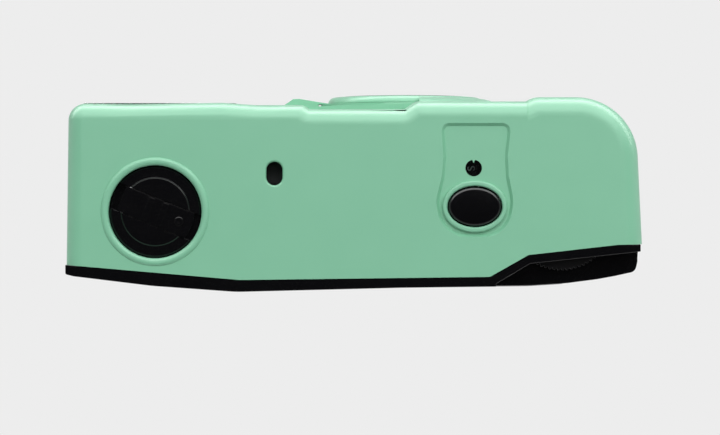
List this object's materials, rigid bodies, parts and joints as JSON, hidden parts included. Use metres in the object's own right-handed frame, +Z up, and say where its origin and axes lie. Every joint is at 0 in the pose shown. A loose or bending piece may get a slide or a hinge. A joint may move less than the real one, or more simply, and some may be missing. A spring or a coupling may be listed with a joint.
{
  "type": "half frame camera",
  "caption": "Compact 35 mm half frame film camera: moulded front shell, hinged back door, thumb advance wheel, fold-down rewind crank, shutter button, flash ring and battery door.",
  "frame": {"origin": "centre of the footprint, on the surface that the camera stands on", "axes": "+Z up, lens looks along -Y, back door on +Y, shutter button on the -X side, +X towards the rewind knob"},
  "size_m": [0.111, 0.0386, 0.062],
  "materials": {
    "mint_plastic": "glossy moulded ABS",
    "black_gloss": "glossy moulded ABS",
    "black_matte": "fine matte moulding",
    "black_metal": "blackened sheet",
    "steel": "satin",
    "spring_steel": "satin",
    "bright_aluminium": "bright pressed sheet",
    "brass": "machined",
    "seal_foam": "short pile",
    "lens_glass": "polished and coated",
    "clear_plastic": "polished acrylic",
    "capacitor_sleeve": "shrink sleeve",
    "board_green": "solder mask",
    "ferrite": "ferrite and tape",
    "lamp_orange": "tinted plastic",
    "battery_sleeve": "printed sleeve",
    "indicator_black": "moulded disc with pale print"
  },
  "bodies": {
    "root": {"front_shell": "mint_plastic", "chassis": "black_matte", "rear_frame": "black_gloss", "hinge_pin": "steel", "lens_barrel": "black_matte", "front_lens": "lens_glass", "rear_lens": "lens_glass", "lens_retainer": "black_matte", "aperture_plate": "black_metal", "shutter_plate": "black_metal", "shutter_cover": "black_metal", "shutter_spring": "spring_steel", "lever_pin": "steel", "lever_spring": "spring_steel", "finder_tunnel": "black_matte", "finder_front_lens": "clear_plastic", "finder_eyepiece": "clear_plastic", "counter_window": "clear_plastic", "flash_window": "clear_plastic", "flash_reflector": "bright_aluminium", "flash_tube": "lens_glass", "flash_capacitor": "capacitor_sleeve", "circuit_board": "board_green", "trigger_transformer": "ferrite", "flash_switch_contacts": "brass", "ready_lamp": "lamp_orange", "ready_lamp_lens": "lamp_orange", "battery": "battery_sleeve", "battery_contact_plate": "brass", "tripod_bush": "brass", "rewind_sleeve": "black_matte", "shell_screws": "steel", "chassis_screws": "steel", "latch_spring": "spring_steel"},
    "door": {"back_door": "black_gloss", "pressure_spring": "spring_steel", "cassette_spring": "spring_steel", "door_light_seal": "seal_foam"},
    "film_plate": {"pressure_plate": "steel"},
    "latch": {"door_latch": "black_gloss"},
    "rewind_lifter": {"rewind_washer": "spring_steel"},
    "rewind": {"rewind_knob": "black_gloss", "rewind_fork": "black_matte", "crank_pin": "steel"},
    "crank": {"rewind_crank": "black_gloss"},
    "handle": {"crank_handle": "black_gloss"},
    "button": {"shutter_button": "black_gloss"},
    "lever": {"release_lever": "steel"},
    "blade": {"shutter_blade": "black_metal"},
    "advance": {"advance_wheel": "black_matte", "take_up_spool": "black_matte"},
    "sprocket": {"film_sprocket": "black_matte"},
    "roller": {"film_roller": "black_matte"},
    "indicator": {"indicator_wheel": "indicator_black"},
    "counter": {"counter_disc": "indicator_black"},
    "ratchet_pawl": {"pawl": "steel"},
    "ring": {"flash_ring": "mint_plastic"},
    "battery_lid": {"battery_door": "black_gloss", "battery_contact_spring": "spring_steel"},
    "rewind_release": {"rewind_release_button": "black_gloss"}
  },
  "joints": [
    {"name": "door_hinge", "type": "hinge", "parent": "root", "child": "door", "pos_m": [-0.0504, 0.0145, 0.026], "axis": [0, 0, 1], "range_deg": [0, 105]},
    {"name": "pressure_plate_slide", "type": "slide", "parent": "door", "child": "film_plate", "axis": [0, 1, 0], "range_m": [0, 0.0008], "stiffness_N_per_m": 60, "deforming": ["pressure_spring"]},
    {"name": "latch_slide", "type": "slide", "parent": "root", "child": "latch", "axis": [0, 0, -1], "range_m": [0, 0.003], "stiffness_N_per_m": 60, "springref_m": -0.001, "deforming": ["latch_spring"]},
    {"name": "rewind_lift", "type": "slide", "parent": "root", "child": "rewind_lifter", "axis": [0, 0, 1], "range_m": [0, 0.006]},
    {"name": "rewind_spin", "type": "hinge", "parent": "rewind_lifter", "child": "rewind", "pos_m": [0.0381, 0.0042, 0.055], "axis": [0, 0, 1], "continuous": true},
    {"name": "crank_fold", "type": "hinge", "parent": "rewind", "child": "crank", "pos_m": [0.04366, 0.00195, 0.06], "axis": [0.3746, 0.9272, 0], "range_deg": [0, 140]},
    {"name": "crank_handle_spin", "type": "hinge", "parent": "crank", "child": "handle", "pos_m": [0.03356, 0.00604, 0.06], "axis": [0, 0, 1], "continuous": true},
    {"name": "shutter_press", "type": "slide", "parent": "root", "child": "button", "axis": [0, 0, -1], "range_m": [0, 0.0015], "stiffness_N_per_m": 300, "springref_m": -0.0005},
    {"name": "release_lever_pivot", "type": "hinge", "parent": "root", "child": "lever", "pos_m": [-0.0233, -0.003, 0.0525], "axis": [-1, 0, 0], "range_deg": [0, 18], "deforming": ["lever_spring"]},
    {"name": "shutter_blade_swing", "type": "hinge", "parent": "root", "child": "blade", "pos_m": [-0.0204, -0.00935, 0.0375], "axis": [0, 1, 0], "range_deg": [0, 35], "stiffness_Nm_per_rad": 0.00005, "springref_deg": -17.19},
    {"name": "advance_spin", "type": "hinge", "parent": "root", "child": "advance", "pos_m": [-0.0401, 0.0052, 0.03], "axis": [0, 0, 1], "continuous": true},
    {"name": "sprocket_spin", "type": "hinge", "parent": "root", "child": "sprocket", "pos_m": [-0.026, 0.00655, 0.03], "axis": [0, 0, 1], "continuous": true},
    {"name": "film_roller_spin", "type": "hinge", "parent": "root", "child": "roller", "pos_m": [0.0145, 0.0094, 0.03], "axis": [0, 0, 1], "continuous": true},
    {"name": "indicator_spin", "type": "hinge", "parent": "root", "child": "indicator", "pos_m": [0.0152, -0.0002, 0.057], "axis": [0, 0, 1], "continuous": true},
    {"name": "counter_spin", "type": "hinge", "parent": "root", "child": "counter", "pos_m": [-0.0296, -0.005, 0.058], "axis": [0, 0, 1], "continuous": true},
    {"name": "pawl_swing", "type": "hinge", "parent": "root", "child": "ratchet_pawl", "pos_m": [-0.049, -0.0044, 0.0545], "axis": [0, 0, 1], "range_deg": [0, 12], "stiffness_Nm_per_rad": 0.00002, "springref_deg": -17.19},
    {"name": "flash_ring_turn", "type": "hinge", "parent": "root", "child": "ring", "pos_m": [-0.0104, -0.018, 0.029], "axis": [0, -1, 0], "range_deg": [0, 35]},
    {"name": "battery_door_hinge", "type": "hinge", "parent": "root", "child": "battery_lid", "pos_m": [0.018, -0.014, 0.00095], "axis": [-1, 0, 0], "range_deg": [0, 95]},
    {"name": "rewind_release_push", "type": "slide", "parent": "root", "child": "rewind_release", "axis": [0, 0, 1], "range_m": [0, 0.0012], "stiffness_N_per_m": 60, "springref_m": -0.0003}
  ],
  "couplings": [
    {"joint": "release_lever_pivot", "follows": "shutter_press", "rad_per_m": 201.3},
    {"joint": "sprocket_spin", "follows": "advance_spin", "ratio": 1.157},
    {"joint": "film_roller_spin", "follows": "advance_spin", "ratio": 2.3333},
    {"joint": "indicator_spin", "follows": "advance_spin", "ratio": -2.1352},
    {"joint": "counter_spin", "follows": "advance_spin", "ratio": -0.0289}
  ]
}
